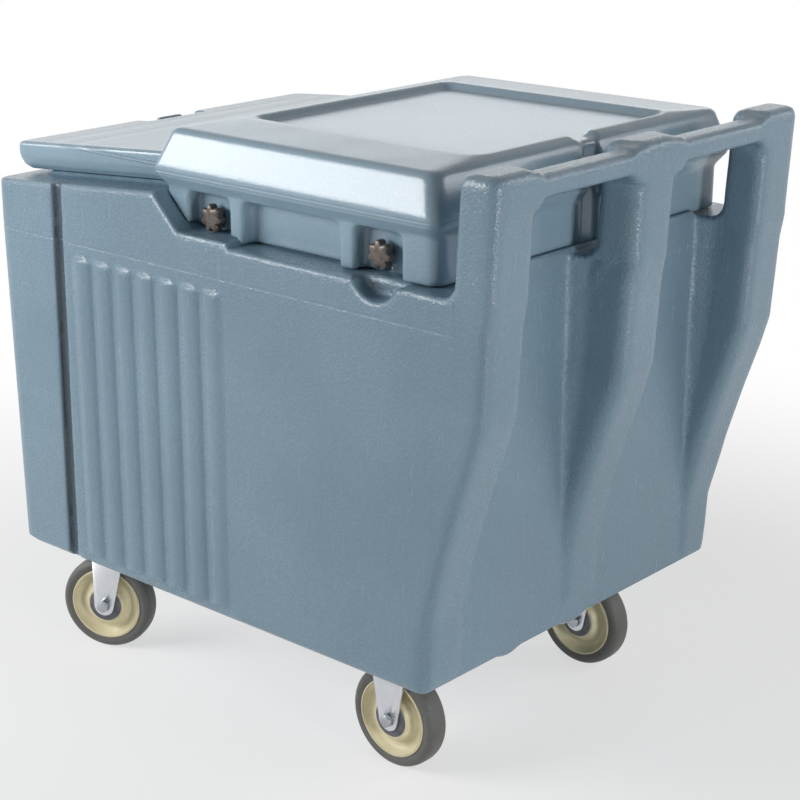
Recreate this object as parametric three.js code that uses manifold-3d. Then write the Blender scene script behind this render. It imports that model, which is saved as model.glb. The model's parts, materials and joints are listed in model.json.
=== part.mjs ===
// Mobile ice bin: a double-walled, foam-filled plastic hopper on two swivel and two rigid casters.
// It has a push handle on three struts, a raised cover held by four star knobs, and a lid that slides
// under it. Millimetres. +X points to the push handle, -X to the lid end, +Z up. The origin is on the
// floor, at mid length.

import * as THREE from "three";
import { mergeVertices } from "three/addons/utils/BufferGeometryUtils.js";
import Module from "manifold-3d";

const wasm = await Module();
wasm.setup();

// Overall sizes
const overallLength = 804;
const bodyWidth = 575;
const rideHeight = 163;
const hopperHeight = 461; // underside to the ledge that the raised cover sits on
const handleRise = 132; // ledge to the top of the struts
const coverRise = 121; // ledge to the top of the raised cover

// Body walls
const frontLean = 10; // the lid-end wall leans out by this much towards the top
const bandHeight = 61; // upright band under the rim of the lid end
const cornerRadius = 18;
const bottomRound = 8;
const endWallBaseInset = 96; // handle face to the foot of the handle-end wall
const endWallTopInset = 85;
const sillHeight = 7; // raised sill behind the cover
const sillDepth = 7;
const sillSetback = 1;
const frontLedgeStep = 6;
const frontLedgeEnd = 388; // handle face to the step in the ledge
const rampFoot = 469; // handle face to the foot of the ramp that climbs to the rim
const rampLength = 40;
const rampRise = 41;
const slideAngle = THREE.MathUtils.degToRad(4.5);
const skin = 5; // wall of one skin of the double-walled mouldings

// Ice well and the curb round its mouth
const curbFrontInset = 24; // rim front to curb
const curbWidth = 25;
const curbSideInset = 49.5; // side wall to curb
const curbRearInset = 115; // handle face to curb
const curbRadius = 45;
const wellDraft = 8;
const wellFloorThickness = 45;

// Ribs, groove and panels of the side walls
const grooveInset = 119; // lid end to the top of the upright groove
const grooveLean = 6; // its foot is nearer to the lid end by this much
const grooveWidth = 17;
const grooveDepth = 8;
const ribCount = 7;
const ribPitch = 38.4;
const ribPanelInset = 142; // lid end to the first rib
const ribPanelDepth = 1.5;
const ribProud = 5.5;
const ribGap = 1.5;
const ribPanelHeight = 405;
const ribFootHeight = 17;
const ribFootRecess = 5;

// Finger scoop under the cover
const scoopInset = 164; // handle face to the middle of the scoop
const scoopRadius = 35;
const scoopRise = 14; // its centre above the ledge
const scoopDepth = 25;

// Struts of the push handle. The outer face sweeps out from the end wall's foot to the handle face:
// each place is a share of that distance at a share of the hopper's height.
const sweepReachShares = [0.02, 0.05, 0.07, 0.28, 0.5, 0.71, 0.82, 0.89, 0.94];
const sweepHeightShares = [0, 0.08, 0.18, 0.36, 0.51, 0.64, 0.72, 0.94, 1];
const sideStrutFace = 73; // width of a side strut at its outer face
const sideStrutRoot = 77;
const midStrutFace = 70;
const midStrutRoot = 92;
const midStrutFlare = 46; // the middle strut's root widens into the wall by this much at the top
const sideStrutFlare = 24;
const strutRound = 17;
const strutInnerRound = 8;
const strutTopRound = 10;
const strutTopInset = 48; // handle face to the strut's inner face at the top
const strutSillInset = 56;
const sillFillet = 12;
// The fillet over the sill and the round of the strut tops, each as pairs of shares: up, then out.
const sillFilletShares = [[0, 1], [0.25, 0.5], [1, 0]];
const strutTopShares = [[0, 0], [0.75, 0.33], [1, 1]];
const strutHeel = 24; // how far a strut's root reaches into the wall
const midStrutFootHeight = 30;

// Bar of the push handle
const barDepth = 35;
const barHeight = 26;
const barDrop = 8; // bar top below the strut tops
const barSetback = 0.5; // handle face to the bar
const barRound = 10;
const barBlend = 18; // the bar thickens over this length beside each strut
// Shares of that length beside the strut, each with its share of the thickening.
const barBlendShares = [[0, 0.5], [0.08, 0.24], [0.22, 0.1], [0.5, 0]];

// Bosses moulded under the handle end
const footBossRadius = 30;
const footBossOffset = -3;
const footBossDrop = 9;
const sideLugRadius = 22;
const sideLugOffset = -127;
const sideLugDrop = 7;

// Sliding lid
const lidFrontInset = 3; // lid end of the body to the lid
const lidSideInset = 37.5; // side wall to the lid
const lidUnderCover = 29; // the closed lid reaches under the cover's lip by this much
const lidUpperThickness = 18;
const lidLowerThickness = 18;
const lidUndercut = 3.5;
const lidOverRim = 5.2; // lid underside above the rim
const lidRunningGap = 0.4; // lid above the curb that it slides on
const lidCornerRadius = 5;
const lidEdge = 3;
const lidFootBevel = 6.5; // the lid's bottom edge, which clears the lining of the front knob pockets
const lidPullWidth = 100;
const lidPullDepth = 14;
const lidPullReach = 25;
const lidLugWidth = 42;
const lidLugReach = 12;

// Raised cover
const coverLength = 432; // along the cover's lip
const coverRearInset = 84; // handle face to the back of the cover's lip
const coverSideInset = 9.5; // side wall to the cover's lip
const lipHeight = 76; // ledge to the lip
const lipThickness = 8;
const lipProud = 13; // lip beyond the skirt
const lipRearProud = 10;
const skirtBandHeight = 15; // the skirt slopes out to the lip over this height
const panelFrontSetback = 18; // the slanted panels lean in by this much
const panelSetback = 13;
const topRound = 4;
const crownRise = 5; // the cover's outer edge to the rim of its tray
const coverCornerRadius = 15;
const coverFrontRadius = 8;
const coverSeatGap = 0.5;
const mouthGap = 2; // lid to the edge of the cover's mouth
const trayDepth = 7.5;
const trayFrontMargin = 46;
const trayRearMargin = 20;
const traySideMargin = 93;
const trayRadius = 12;
const trayFlange = 14;
const drainNotchWidth = 40;
const drainChannelWidth = 30;
const drainChannelDepth = 15;

// Pockets of the cover's skirt
const pocketDepth = 18;
const pocketTopDrop = 25; // lip to the top of the pockets
const pocketRadius = 8;
const knobPocketWidth = 68;
const knobPitch = 259;
const knobInset = 177.5; // handle face to the rear knob
const pocketRibWidth = 21;
const studSlotWidth = 9;

// Star knobs and their studs
const knobRadius = 14.4;
const knobLobe = 1.8;
const knobLobes = 7;
const knobThickness = 12;
const knobBevel = 2;
const knobBossRadius = 8;
const knobBossLength = 4;
const knobHeight = 23; // its centre above the ledge
const knobSeatGap = 1.5; // skirt to the knob's boss
const studRadius = 3;
const studEmbed = 14;
const studEngage = 9;

// Drain shelf inside the well
const shelfThickness = 4;
const shelfStandoff = 20;
const shelfMargin = 7;
const shelfFootRadius = 9;
const shelfFootInset = 40;
const shelfHoleRadius = 9;
const shelfHoleColumns = 6;
const shelfHoleRows = 4;
const shelfHolePitch = 84;
const shelfRadius = 34;

// Drain spigot in its recess in the lid end
const recessWidth = 130;
const recessDepth = 44;
const recessHeight = 92;
const drainHeight = 63; // drain axis above the underside of the body
const drainBossRadius = 21;
const drainTubeRadius = 9;
const drainBore = 6;
const drainFlangeRadius = 16;
const drainFlangeThickness = 3;
const washerRadius = 17;
const washerThickness = 2;
const lockNutRadius = 15;
const lockNutThickness = 7;
const valveRadius = 13;
const valveLength = 17;
const spoutRadius = 8;
const spoutBore = 5;
const spoutLength = 36;
const leverLength = 34;
const leverWidth = 9;
const leverThickness = 4;
const leverStemRadius = 3;
const leverStemLength = 5;
const tubeStub = 6;

// Foam filling and its plug
const fillHoleRadius = 12;
const fillPlugHead = 15;
const fillPlugHeadThickness = 2;
const foamTopDrop = 26; // ledge to the top of the foam
const foamSideInset = 7;
const foamEndInset = 6;
const strutFoamMargin = 12;
const lidVentRadius = 4;

// Casters
const wheelDiameter = 127;
const wheelWidth = 32;
const casterSideInset = 102.5; // side wall to the middle of a caster
const rearWheelInset = 216; // handle face to the rear axles
const kingpinInset = 108; // lid end to the kingpins
const casterTrail = 35;
const leftSteer = THREE.MathUtils.degToRad(25);
const rightSteer = THREE.MathUtils.degToRad(12);
const plateLength = 100;
const plateWidth = 86;
const plateThickness = 3;
const plateRadius = 8;
const boltRadius = 6.5;
const boltHeadHeight = 5;
const boltSpanX = 76;
const boltSpanY = 62;
const forkThickness = 3;
const rigidForkWidth = 64; // the legs' width under the head
const swivelForkWidth = 45;
const swivelHeadReach = 25; // kingpin to the front of the swivel fork's head
const forkHeadDrop = 26; // plate to the top of the fork
const legEndRadius = 14;
const raceRadius = 29;
const raceLipRadius = 24;
const raceGap = 1;
const raceHeight = 9;
const kingpinRadius = 6;
const kingpinHeadRadius = 10;
const kingpinHeadHeight = 3;
const axleRadius = 5;
const axleHeadRadius = 8.5;
const axleHeadHeight = 5.5;
const axleNutLength = 7;
const axleEnd = 4;
const rimRadius = 49;
const rimWidth = 30;
const rimBead = 4;
const webThickness = 11;
const hubRadius = 26;
const hubWidth = 33;
const bearingRadius = 9;
const guardRadius = 23;
const guardThickness = 1.6;
const tyreShoulder = 6;

// Clearances and facets
const clearance = 0.3;
const overrun = 10; // how far a cut runs past the face that it opens
const wheelFacets = 26;
const boreFacets = 16;
const knobFacets = 42;
const raceFacets = 24;
const legFacets = 10;
const shelfHoleFacets = 8;
const scoopFacets = 32;
const hexagonFacets = 6;
const cornerFacets = 4;

// Places worked out from the sizes
const frontX = -overallLength / 2;
const handleX = overallLength / 2;
const sideY = bodyWidth / 2;
const underZ = rideHeight;
const ledgeZ = underZ + hopperHeight;
const frontLedgeZ = ledgeZ + frontLedgeStep;
const sillZ = ledgeZ + sillHeight;
const strutTopZ = ledgeZ + handleRise;
const coverTopZ = ledgeZ + coverRise;
const lipZ = ledgeZ + lipHeight;
const slope = Math.tan(slideAngle);
const rampTopX = handleX - rampFoot - rampLength;
const rampFootX = handleX - rampFoot;
const rampTopZ = frontLedgeZ + rampRise;
const rimFrontZ = rampTopZ - (rampTopX - frontX) * slope;
const bandZ = rimFrontZ - bandHeight;
const endWallTopX = handleX - endWallTopInset;
const endWallBaseX = handleX - endWallBaseInset;
const wellFloorZ = underZ + wellFloorThickness;
const wellFrontX = frontX + curbFrontInset + curbWidth;
const wellRearX = handleX - curbRearInset - curbWidth;
const curbFrontX = frontX + curbFrontInset;
const curbRearX = handleX - curbRearInset;
const curbY = sideY - curbSideInset;
const wellY = curbY - curbWidth;
const lidUnderZ = (x) => rimFrontZ + lidOverRim + (x - frontX) * slope;
const lidThickness = lidUpperThickness + lidLowerThickness;
const lidWidth = bodyWidth - 2 * lidSideInset;
const lipRearX = handleX - coverRearInset;
const lipFrontX = lipRearX - coverLength;
const lidLength = lipFrontX - frontX - lidFrontInset + lidUnderCover;
const lipY = sideY - coverSideInset;
const skirtY = lipY - lipProud;
const skirtFrontX = lipFrontX + coverFrontRadius;
const skirtRearX = lipRearX - lipRearProud;
const coverTopY = lipY - panelSetback;
const trayX = [lipFrontX + panelFrontSetback + trayFrontMargin, lipRearX - panelSetback - trayRearMargin];
const trayY = coverTopY - traySideMargin;
const trayRimZ = coverTopZ + crownRise;
const trayFloorZ = trayRimZ - trayDepth;
const rearKnobX = handleX - knobInset;
const frontKnobX = rearKnobX - knobPitch;
const knobZ = ledgeZ + knobHeight;
const drainZ = underZ + drainHeight;
const recessBackX = frontX + recessDepth;
const axleZ = wheelDiameter / 2;
const track = bodyWidth - 2 * casterSideInset;

// Materials, with colours as seen in daylight
const paint = (color, roughness, metalness = 0) =>
  new THREE.MeshStandardMaterial({ color, roughness, metalness });
const slateBlue = paint(0x8fa5b5, 0.42);
const foam = paint(0xd9cfa8, 0.95);
const knobBrown = paint(0x4a4038, 0.35);
const zinc = paint(0xd2d5d8, 0.3, 0.9);
const steel = paint(0xa9adb1, 0.35, 0.9);
const tyreGrey = paint(0x5c5a58, 0.7);
const wheelBeige = paint(0xb9b08c, 0.55);
const hubGrey = paint(0x3c3e41, 0.6);
const spigotWhite = paint(0xe6e6e2, 0.45);
const shelfGrey = paint(0x9aa9b4, 0.5);

// Turns a closed geometry into a solid, dropping the slivers that a lathe leaves on its axis.
function solidOf(geometry) {
  const bare = geometry.index ? geometry.toNonIndexed() : geometry.clone();
  bare.deleteAttribute("normal");
  bare.deleteAttribute("uv");
  const merged = mergeVertices(bare, 1e-4);
  const index = merged.index.array;
  const kept = [];
  for (let i = 0; i < index.length; i += 3) {
    const [a, b, c] = [index[i], index[i + 1], index[i + 2]];
    if (a !== b && b !== c && c !== a) kept.push(a, b, c);
  }
  return new wasm.Manifold(
    new wasm.Mesh({
      numProp: 3,
      vertProperties: merged.attributes.position.array,
      triVerts: new Uint32Array(kept),
    }),
  );
}

function geometryOf(solid) {
  const mesh = solid.getMesh();
  const geometry = new THREE.BufferGeometry();
  geometry.setAttribute("position", new THREE.BufferAttribute(mesh.vertProperties, 3));
  geometry.setIndex(new THREE.BufferAttribute(mesh.triVerts, 1));
  geometry.computeVertexNormals();
  return geometry;
}

function named(name, solid, material) {
  const mesh = new THREE.Mesh(geometryOf(solid), material);
  mesh.name = name;
  return mesh;
}

const join = (solids) => solids.reduce((a, b) => a.add(b));
const cut = (solid, tools) => tools.reduce((a, b) => a.subtract(b), solid);

// A block between two values on each axis.
function block([x0, x1], [y0, y1], [z0, z1]) {
  const box = new THREE.BoxGeometry(x1 - x0, y1 - y0, z1 - z0);
  return solidOf(box.translate((x0 + x1) / 2, (y0 + y1) / 2, (z0 + z1) / 2));
}

const outline = (points) => new THREE.Shape(points.map(([a, b]) => new THREE.Vector2(a, b)));

// The points of an anticlockwise outline with each edge moved inwards by the margin.
function shrunk(points, margin) {
  const n = points.length;
  const inward = ([ax, ay], [bx, by]) => {
    const length = Math.hypot(bx - ax, by - ay);
    return [(ay - by) / length, (bx - ax) / length];
  };
  return points.map(([x, y], i) => {
    const [ux, uy] = inward(points[(i + n - 1) % n], [x, y]);
    const [vx, vy] = inward([x, y], points[(i + 1) % n]);
    const k = margin / (1 + ux * vx + uy * vy);
    return [x + k * (ux + vx), y + k * (uy + vy)];
  });
}

// The points of an outline whose corners, given as [a, b, trim], are rounded off over their trim.
function softened(corners) {
  const n = corners.length;
  return corners.flatMap(([a, b, trim], i) => {
    const towards = ([c, d]) => {
      const length = Math.hypot(c - a, d - b);
      return [(trim * (c - a)) / length, (trim * (d - b)) / length];
    };
    const [pa, pb] = towards(corners[(i + n - 1) % n]);
    const [qa, qb] = towards(corners[(i + 1) % n]);
    return Array.from({ length: cornerFacets + 1 }, (_, k) => {
      const s = k / cornerFacets;
      return [a + pa * (1 - s) ** 2 + qa * s ** 2, b + pb * (1 - s) ** 2 + qb * s ** 2];
    });
  });
}

function roundedRectangle([a0, a1], [b0, b1], radius) {
  const r = Math.min(radius, (a1 - a0) / 2 - clearance, (b1 - b0) / 2 - clearance);
  const shape = new THREE.Shape();
  shape.absarc(a1 - r, b1 - r, r, 0, Math.PI / 2);
  shape.absarc(a0 + r, b1 - r, r, Math.PI / 2, Math.PI);
  shape.absarc(a0 + r, b0 + r, r, Math.PI, 1.5 * Math.PI);
  shape.absarc(a1 - r, b0 + r, r, 1.5 * Math.PI, 2 * Math.PI);
  shape.closePath();
  return shape;
}

// Prisms of a shape along each axis. Along Y the shape's axes are X and Z, and along X they are Y and Z.
function extruded(shape, depth) {
  return new THREE.ExtrudeGeometry(shape, { depth, bevelEnabled: false, curveSegments: cornerFacets });
}
const prismZ = (shape, [z0, z1]) => solidOf(extruded(shape, z1 - z0).translate(0, 0, z0));
const prismY = (shape, [y0, y1]) =>
  solidOf(extruded(shape, y1 - y0).rotateX(Math.PI / 2).translate(0, y1, 0));
const alongX = new THREE.Matrix4().makeBasis(
  new THREE.Vector3(0, 1, 0),
  new THREE.Vector3(0, 0, 1),
  new THREE.Vector3(1, 0, 0),
);
const prismX = (shape, [x0, x1]) =>
  solidOf(extruded(shape, x1 - x0).applyMatrix4(alongX).translate(x0, 0, 0));

// A solid of revolution about Z from a closed profile of [radius, height] points.
function turned(profile, facets = boreFacets, phase = 0) {
  const points = [...profile, profile[0]].map(([r, h]) => new THREE.Vector2(r, h));
  const lathe = new THREE.LatheGeometry(points, facets, phase);
  return solidOf(lathe.rotateX(Math.PI / 2));
}
const rod = (radius, [z0, z1], facets = boreFacets) =>
  turned([[0, z0], [radius, z0], [radius, z1], [0, z1]], facets);
const hexagon = (radius, [z0, z1]) => rod(radius, [z0, z1], hexagonFacets);

const mirrored = (solid) => solid.mirror([0, 1, 0]);
const moved = (solid, x, y, z) => solid.translate([x, y, z]);
const turnedToX = (solid) => solid.rotate([0, 90, 0]);
const turnedToY = (solid) => solid.rotate([-90, 0, 0]);

// A closed loft through rings of points that all turn the same way.
function loft(rings) {
  const n = rings[0].length;
  const index = [];
  for (let k = 0; k + 1 < rings.length; k += 1) {
    for (let i = 0; i < n; i += 1) {
      const [a, b] = [k * n + i, k * n + ((i + 1) % n)];
      index.push(a, b, b + n, a, b + n, a + n);
    }
  }
  const top = (rings.length - 1) * n;
  for (let i = 1; i + 1 < n; i += 1) {
    index.push(0, i + 1, i);
    index.push(top, top + i, top + i + 1);
  }
  const geometry = new THREE.BufferGeometry();
  geometry.setAttribute("position", new THREE.Float32BufferAttribute(rings.flat(2), 3));
  geometry.setIndex(index);
  return solidOf(geometry);
}

// One ring of a loft: a rectangle with its own radius at the front (low X) and rear corners.
function ring([x0, x1], halfWidth, z, frontRadius, rearRadius) {
  const corners = [
    [x1 - rearRadius, halfWidth - rearRadius, rearRadius],
    [x0 + frontRadius, halfWidth - frontRadius, frontRadius],
    [x0 + frontRadius, frontRadius - halfWidth, frontRadius],
    [x1 - rearRadius, rearRadius - halfWidth, rearRadius],
  ];
  return corners.flatMap(([x, y, r], corner) =>
    Array.from({ length: cornerFacets + 1 }, (_, i) => {
      const angle = ((corner + i / cornerFacets) * Math.PI) / 2;
      return [x + r * Math.cos(angle), y + r * Math.sin(angle), z];
    }),
  );
}

// Body: the side view of the hopper with its ledge, ramp and rim, rounded at the lid-end corners.
function hopperBlock() {
  const side = outline([
    [frontX, underZ],
    [endWallBaseX, underZ],
    [endWallTopX, ledgeZ],
    [handleX - frontLedgeEnd, ledgeZ],
    [handleX - frontLedgeEnd, frontLedgeZ],
    [rampFootX, frontLedgeZ],
    [rampTopX, rampTopZ],
    [frontX, rimFrontZ],
  ]);
  const reach = handleX + cornerRadius;
  const plan = (x, half, z) => ring([x, reach], half, z, cornerRadius, clearance);
  const walls = loft([
    plan(frontX + frontLean + bottomRound, sideY - bottomRound, underZ),
    plan(frontX + frontLean, sideY, underZ + bottomRound),
    plan(frontX, sideY, bandZ),
    plan(frontX, sideY, rampTopZ + overrun),
  ]);
  return prismY(side, [-sideY, sideY]).intersect(walls);
}

// A low sill along the end wall, between the side struts.
function sill() {
  const half = sideY - sideStrutRoot - strutInnerRound;
  const x1 = endWallTopX - sillSetback;
  return block([x1 - sillDepth, x1], [-half, half], [ledgeZ - skin, sillZ]);
}

// The curb rises through the ledge to just under the lid, which slides on it.
function curb() {
  const top = (x) => lidUnderZ(x) - lidRunningGap;
  const side = outline([
    [curbFrontX, ledgeZ - skin],
    [curbRearX, ledgeZ - skin],
    [curbRearX, top(curbRearX)],
    [curbFrontX, top(curbFrontX)],
  ]);
  const plan = roundedRectangle([curbFrontX, curbRearX], [-curbY, curbY], curbRadius);
  const reach = [ledgeZ - skin, top(curbRearX) + overrun];
  return prismY(side, [-curbY, curbY]).intersect(prismZ(plan, reach));
}

// The ice well, wider at its mouth. A positive margin gives the outside of its wall.
function well(margin) {
  const inner = curbRadius - curbWidth / 2;
  const radius = inner + margin;
  const [front, rear] = [wellFrontX - margin, wellRearX + margin];
  const level = (draft, z) =>
    ring([front + draft, rear - draft], wellY - draft + margin, z, radius, radius);
  return loft([level(wellDraft, wellFloorZ - margin), level(0, coverTopZ)]);
}

// Heights of the struts' sections, each with the place of the outer face.
const sweep = sweepHeightShares.map((share, i) => [
  underZ + share * hopperHeight,
  endWallBaseX + sweepReachShares[i] * (handleX - endWallBaseX),
]);
const strutInnerX = (z) =>
  handleX - strutSillInset + ((strutSillInset - strutTopInset) * (z - ledgeZ)) / handleRise;

// One strut, as plan sections stacked from its foot to its top. Each side is { face, root, flare }: the
// place of its outer corner, of its root at the wall, and how far the root spreads at the ledge.
function strut(low, high) {
  const section = (z, front, outer, rise, shrink, trims) => {
    const [inner, bend, outerTrim] = trims;
    const lowFlare = low.flare * rise;
    const highFlare = high.flare * rise;
    const middle = (front + outer) / 2;
    const corners = [
      [front + shrink, low.root - lowFlare + shrink, inner],
      [middle, (low.root + low.face) / 2 + shrink, bend],
      [outer - shrink, low.face + shrink, outerTrim],
      [outer - shrink, high.face - shrink, outerTrim],
      [middle, (high.root + high.face) / 2 - shrink, bend],
      [front + shrink, high.root + highFlare - shrink, inner],
    ];
    return softened(corners).map(([x, y]) => [x, y, z]);
  };
  const bend = strutInnerRound / 2;
  const buried = [bend, bend, strutRound];
  const free = [strutInnerRound, bend, strutRound];
  const heelX = endWallBaseX - strutHeel;
  const foot = section(underZ + clearance, heelX, sweep[0][1], 0, bottomRound, buried);
  const below = sweep.map(([z, x], i) => {
    const level = i === 0 ? z + bottomRound : z;
    return section(level, heelX, x, (level - underZ) / hopperHeight, 0, buried);
  });
  const [, ledgeX] = sweep[sweep.length - 1];
  const above = sillFilletShares.map(([up, out]) => {
    const z = ledgeZ + up * sillFillet;
    return section(z, strutInnerX(z) - out * sillFillet, ledgeX, (out * sillFillet) / handleRise, 0, free);
  });
  const nearTop = strutTopShares.map(([up, out]) => {
    const z = strutTopZ - (1 - up) * strutTopRound;
    const shrink = out * strutTopRound;
    const trims = [shrink > bend ? bend : strutInnerRound, bend, strutRound - shrink];
    return section(z, strutInnerX(z), handleX, 0, shrink, trims);
  });
  return loft([foot, ...below, ...above, ...nearTop]);
}

function sideStrut() {
  const outside = { face: -sideY, root: -sideY, flare: 0 };
  const inside = { face: sideStrutFace - sideY, root: sideStrutRoot - sideY, flare: sideStrutFlare };
  return strut(outside, inside);
}

// The middle strut stops short of the floor of the body, with a slanted underside.
function middleStrut() {
  const low = { face: -midStrutFace / 2, root: -midStrutRoot / 2, flare: midStrutFlare / 2 };
  const high = { face: midStrutFace / 2, root: midStrutRoot / 2, flare: midStrutFlare / 2 };
  const [, footX] = sweep[1];
  const slant = outline([
    [endWallBaseX, underZ - overrun],
    [handleX, underZ - overrun],
    [handleX, underZ + midStrutFootHeight + (handleX - footX)],
    [endWallBaseX, underZ + midStrutFootHeight - (footX - endWallBaseX)],
  ]);
  return strut(low, high).subtract(prismY(slant, [-sideY, sideY]));
}

// The bar runs through the strut tops and thickens into them.
function handleBar() {
  const barTopZ = strutTopZ - barDrop;
  const section = (y, share) => {
    const [x0, x1] = [handleX - barSetback - barDepth, handleX - barSetback];
    const z0 = barTopZ - barHeight - share * barBlend;
    const z1 = barTopZ + share * (barDrop - clearance);
    const r = barRound;
    return softened([[x0, z0, r], [x1, z0, r], [x1, z1, r], [x0, z1, r]]).map(([x, z]) => [x, y, z]);
  };
  const blend = (root, away) => [
    [root - away * 2 * strutRound, 1],
    ...barBlendShares.map(([along, share]) => [root + away * along * barBlend, share]),
  ];
  const ends = [
    [sideY - strutRound, 1],
    ...blend(sideY - sideStrutRoot, -1),
    ...blend(midStrutRoot / 2, 1).reverse(),
  ];
  const other = ends.map(([y, share]) => [-y, share]).reverse();
  return loft([...ends, ...other].map(([y, share]) => section(y, share)));
}

// The panel of upright ribs on the side wall at -Y: what is cut away, and the ribs that are put back.
function ribPanelCut() {
  const x0 = frontX + ribPanelInset;
  const x = [x0, x0 + ribCount * ribPitch];
  const z0 = underZ - overrun;
  const panel = block(x, [-sideY - overrun, ribPanelDepth - sideY], [z0, underZ + ribPanelHeight]);
  const foot = block(x, [-sideY - overrun, ribFootRecess - sideY], [z0, underZ + ribFootRecess]);
  return panel.add(foot);
}

function ribs() {
  const half = (ribPitch - ribGap) / 2;
  const bow = (half * half + ribProud * ribProud) / (2 * ribProud);
  const sweep = Math.asin(half / bow);
  const x0 = frontX + ribPanelInset + ribPitch / 2;
  const valleyY = ribPanelDepth - sideY;
  const centreY = valleyY - ribProud + bow;
  return Array.from({ length: ribCount }, (_, i) => {
    const shape = new THREE.Shape();
    shape.absarc(x0 + i * ribPitch, centreY, bow, -Math.PI / 2 - sweep, sweep - Math.PI / 2);
    shape.lineTo(x0 + i * ribPitch + half, valleyY + ribPanelDepth / 2);
    shape.lineTo(x0 + i * ribPitch - half, valleyY + ribPanelDepth / 2);
    shape.closePath();
    return prismZ(shape, [underZ + ribFootHeight, underZ + ribPanelHeight]);
  });
}

function sideGroove(margin) {
  const topX = frontX + grooveInset;
  const half = grooveWidth / 2 + margin;
  const shape = outline([
    [topX - half - grooveLean, underZ - overrun],
    [topX + half - grooveLean, underZ - overrun],
    [topX + half, rampTopZ + overrun],
    [topX - half, rampTopZ + overrun],
  ]);
  return prismY(shape, [-sideY - overrun, grooveDepth - sideY + margin]);
}

function fingerScoop() {
  const round = turnedToY(rod(scoopRadius, [0, scoopDepth + overrun], scoopFacets));
  return moved(round, handleX - scoopInset, -sideY - overrun, ledgeZ + scoopRise);
}

// Under the handle end: a round boss below the middle strut, and a lug beside it.
function underDome(radius, y, drop) {
  const dome = new THREE.SphereGeometry(1, boreFacets, boreFacets / 2);
  return solidOf(dome.scale(radius / 2, radius, drop).translate(endWallBaseX - radius / 2, y, underZ));
}

const recessY = [-recessWidth / 2, recessWidth / 2];
const drainRecess = (margin) =>
  block(
    [frontX - overrun, recessBackX + margin],
    [recessY[0] - margin, recessY[1] + margin],
    [underZ - overrun, underZ + recessHeight + margin],
  );
function drainPassage(radius) {
  const reach = wellFrontX + wellDraft - recessBackX + 2 * overrun;
  return moved(turnedToX(rod(radius, [0, reach])), recessBackX - overrun, 0, drainZ);
}

// The space between the skins. The foam is the same shape, smaller all round by the margin.
function wallCavity(margin) {
  const side = [
    [frontX + frontLean + 2 * skin, underZ + skin],
    [endWallBaseX - foamEndInset, underZ + skin],
    [endWallTopX - foamEndInset, ledgeZ - foamTopDrop],
    [rampFootX - skin, ledgeZ - foamTopDrop],
    [rampFootX - skin, frontLedgeZ - skin],
    [rampTopX - skin, rampTopZ - 2 * skin],
    [frontX + 2 * skin, rimFrontZ - 2 * skin],
    [frontX + 2 * skin, bandZ],
  ];
  const half = sideY - foamSideInset - margin;
  const spigot = moved(turnedToX(rod(drainBossRadius + margin, [0, overallLength / 2])), frontX, 0, drainZ);
  const groove = sideGroove(skin + margin);
  const main = cut(prismY(outline(shrunk(side, margin)), [-half, half]), [
    well(skin + margin),
    drainRecess(skin + margin),
    spigot,
    groove,
    mirrored(groove),
  ]);
  return join([main, ...strutCores(margin)]);
}

// Foam that runs up inside the struts from the end wall.
function strutCores(margin) {
  const heelX = endWallBaseX - strutHeel;
  const strutSide = [
    [heelX, underZ + midStrutFootHeight],
    ...sweep.slice(1).map(([z, x]) => [x, z]),
    [handleX, strutTopZ],
    [handleX - strutTopInset, strutTopZ],
    [handleX - strutSillInset, ledgeZ],
    [heelX, ledgeZ],
  ];
  const inset = strutFoamMargin + margin;
  const shape = outline(shrunk(strutSide, inset));
  const side = prismY(shape, [inset - sideY, sideStrutFace - sideY - inset]);
  const midHalf = midStrutFace / 2 - inset;
  return [side, mirrored(side), prismY(shape, [-midHalf, midHalf])];
}

const fillHole = (radius, [z0, z1]) => moved(rod(radius, [z0, z1]), 0, 0, underZ);

// Studs are screwed into the curb, and each knob turns on one of them.
const knobPlaces = [
  ["front_left", frontKnobX, -1],
  ["rear_left", rearKnobX, -1],
  ["front_right", frontKnobX, 1],
  ["rear_right", rearKnobX, 1],
];
const pocketBackY = skirtY - pocketDepth;
const studInnerY = curbY - studEmbed;
const knobInnerY = pocketBackY + knobSeatGap;

function sideRod(radius, x, z, side, [y0, y1]) {
  const straight = turnedToY(rod(radius, [y0, y1]));
  return moved(side > 0 ? straight : mirrored(straight), x, 0, z);
}

function bodyShell() {
  const panel = [ribPanelCut(), sideGroove(0), fingerScoop()];
  const whole = join([
    cut(hopperBlock(), [...panel, ...panel.map(mirrored)]),
    ...ribs(),
    ...ribs().map(mirrored),
    sill(),
    curb(),
    sideStrut(),
    middleStrut(),
    mirrored(sideStrut()),
    handleBar(),
    underDome(footBossRadius, footBossOffset, footBossDrop),
    underDome(sideLugRadius, sideLugOffset, sideLugDrop),
  ]);
  const studHole = ([, x, side]) =>
    sideRod(studRadius + clearance, x, knobZ, side, [studInnerY - clearance, sideY]);
  return cut(whole, [
    well(0),
    drainRecess(0),
    wallCavity(0),
    drainPassage(drainTubeRadius + clearance),
    fillHole(fillHoleRadius + clearance, [-overrun, skin + overrun]),
    ...knobPlaces.map(studHole),
  ]);
}

const bodyInsulation = () =>
  cut(wallCavity(clearance), [fillHole(fillHoleRadius + overrun, [0, 2 * overrun])]);

const fillPlug = () =>
  join([
    fillHole(fillHoleRadius, [-clearance - fillPlugHeadThickness, skin + overrun / 2]),
    fillHole(fillPlugHead, [-clearance - fillPlugHeadThickness, -clearance]),
  ]);

// Sliding lid, modelled level: its lid-end edge is at X = 0 and its underside at Z = 0.
// It is then set on its slope.
function lidPlaced(solid) {
  const x = frontX + lidFrontInset;
  return solid.rotate([0, -THREE.MathUtils.radToDeg(slideAngle), 0]).translate([x, 0, lidUnderZ(x)]);
}

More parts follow.
